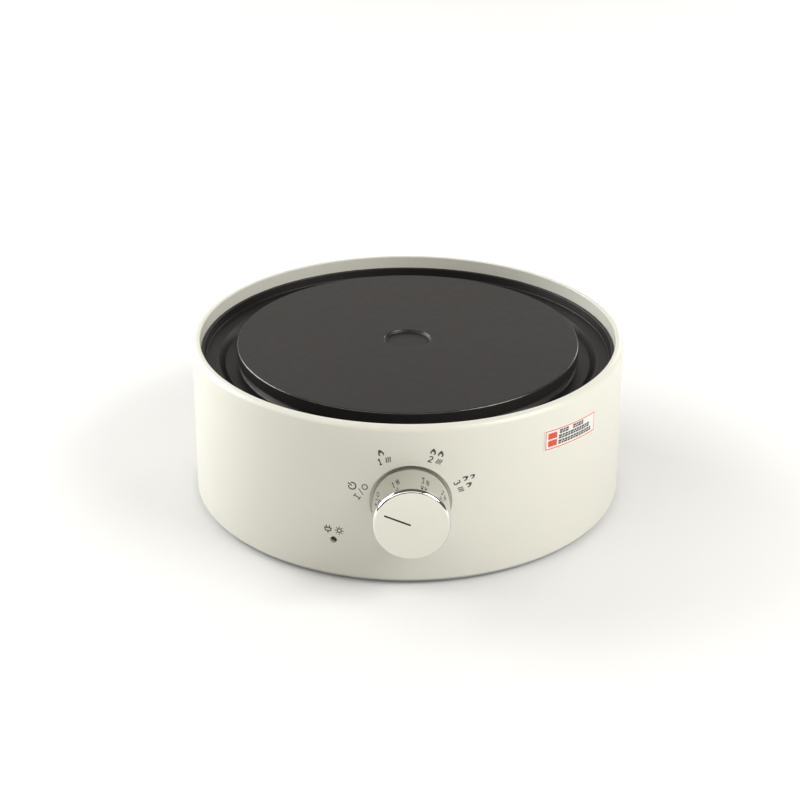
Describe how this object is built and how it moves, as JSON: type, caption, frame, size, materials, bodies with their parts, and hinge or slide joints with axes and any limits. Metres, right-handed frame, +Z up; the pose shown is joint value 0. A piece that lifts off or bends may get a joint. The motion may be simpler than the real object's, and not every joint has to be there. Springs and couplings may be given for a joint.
{
  "type": "electric hot plate burner",
  "caption": "Round tabletop electric hot plate with a cast heating plate in a black drip pan, a white moulded casing, a stepped rotary heat knob and a rear power inlet.",
  "frame": {"origin": "on the floor plane, under the middle of the whole object's bounding box (the casing's own axis is 11.3 mm behind it)", "axes": "+Z up, the knob faces -Y, +X to the right when looking at the knob"},
  "size_m": [0.2312, 0.2538, 0.088],
  "materials": {
    "casing_plastic": "warm off-white moulded plastic, semi-gloss, with a very fine moulded texture",
    "label_paper": "white printed adhesive label with a thin coloured border and plain rules",
    "lens_plastic": "translucent amber lamp lens",
    "lamp_glass": "clear neon lamp bulb",
    "plated_steel": "zinc plated sheet steel, dull grey",
    "bright_steel": "plain bright steel",
    "pan_enamel": "pressed steel with a glossy black enamel",
    "plate_iron": "turned cast iron with a satin dark heat-resistant coating",
    "element_sheath": "heat-dulled tubular element sheath, dark grey-green",
    "insulation_board": "pressed off-white fibre board, matt",
    "brown_phenolic": "dark brown phenolic moulding",
    "fuse_ceramic": "small ceramic fuse body with tinned leads",
    "switch_plastic": "natural nylon",
    "contact_brass": "stamped spring brass",
    "knob_chrome": "polished metal side and satin face with a dark engraved line",
    "inlet_plastic": "black moulded socket body",
    "pin_brass": "nickel plated brass pins",
    "foot_rubber": "soft black rubber",
    "sleeve_brown": "brown silicone rubber sleeve",
    "sleeve_blue": "blue silicone rubber sleeve",
    "sleeve_green": "green and yellow silicone rubber sleeve",
    "sleeve_red": "red silicone rubber sleeve",
    "sleeve_white": "white glass-fibre and silicone sleeve"
  },
  "bodies": {
    "chassis": {"base_cover": "plated_steel", "base_screw_1": "bright_steel", "base_screw_2": "bright_steel", "base_screw_3": "bright_steel", "base_screw_4": "bright_steel", "common_terminal": "contact_brass", "contact_leaf_high": "contact_brass", "contact_leaf_low": "contact_brass", "detent_spring": "bright_steel", "drip_pan": "pan_enamel", "foot_1": "foot_rubber", "foot_2": "foot_rubber", "foot_3": "foot_rubber", "foot_4": "foot_rubber", "heat_shield": "plated_steel", "heating_element_inner": "element_sheath", "heating_element_outer": "element_sheath", "heating_plate": "plate_iron", "indicator_lamp": "lamp_glass", "indicator_lens": "lens_plastic", "inlet_pin_earth": "pin_brass", "inlet_pin_live": "pin_brass", "inlet_pin_neutral": "pin_brass", "inlet_screw_1": "bright_steel", "inlet_screw_2": "bright_steel", "insulation_disc": "insulation_board", "neutral_link": "sleeve_blue", "outer_casing": "casing_plastic", "pan_post_1": "plated_steel", "pan_post_2": "plated_steel", "pan_post_3": "plated_steel", "pan_post_4": "plated_steel", "plate_nut_1": "bright_steel", "plate_nut_2": "bright_steel", "plate_nut_3": "bright_steel", "plate_stud_1": "plated_steel", "plate_stud_2": "plated_steel", "plate_stud_3": "plated_steel", "power_inlet": "inlet_plastic", "side_label": "label_paper", "switch_back_cover": "brown_phenolic", "switch_housing": "brown_phenolic", "switch_screw_1": "bright_steel", "switch_screw_2": "bright_steel", "thermal_fuse": "fuse_ceramic", "thermostat": "brown_phenolic", "thermostat_bracket": "plated_steel", "thermostat_screw_1": "bright_steel", "thermostat_screw_2": "bright_steel", "wire_earth": "sleeve_green", "wire_high": "sleeve_red", "wire_lamp": "sleeve_white", "wire_live_feed": "sleeve_brown", "wire_low": "sleeve_white", "wire_neutral": "sleeve_blue", "wire_switch_feed": "sleeve_brown"},
    "knob": {"knob": "knob_chrome", "knob_grip_spring": "bright_steel", "switch_rotor": "switch_plastic"}
  },
  "joints": [
    {"name": "knob_turn", "type": "hinge", "parent": "chassis", "child": "knob", "pos_m": [0, -0.1152, 0.047], "axis": [0, 1, 0], "range_deg": [0, 135]}
  ]
}
